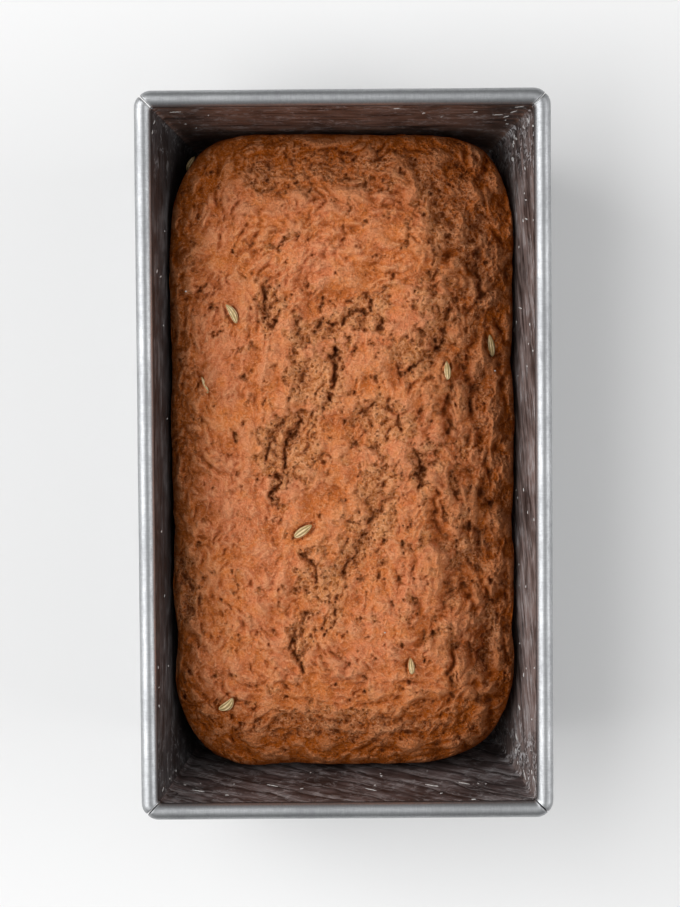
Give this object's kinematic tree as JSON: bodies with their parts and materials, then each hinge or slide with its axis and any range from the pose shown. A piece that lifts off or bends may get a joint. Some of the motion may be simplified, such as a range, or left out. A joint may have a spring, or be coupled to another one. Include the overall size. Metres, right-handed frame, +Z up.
{
  "type": "black bread loaf in its loaf tin",
  "caption": "Dark brown domed loaf with a cracked, wrinkled crust and a few fennel seeds, in its rectangular rolled-rim steel loaf tin.",
  "frame": {"origin": "middle of the tin's base, on the surface that it stands on", "axes": "+Z up through the open top; Y along the tin's length, +Y towards the top of the picture; X across the tin"},
  "size_m": [0.1374, 0.242, 0.07],
  "materials": {
    "steel": "satin rolled steel outside, dark greasy baked-on film inside",
    "crust": "matte baked crust, orange-brown, wrinkled and cracked, with pale fennel seeds"
  },
  "bodies": {
    "root": {"tin": "steel", "loaf": "crust"}
  },
  "joints": []
}
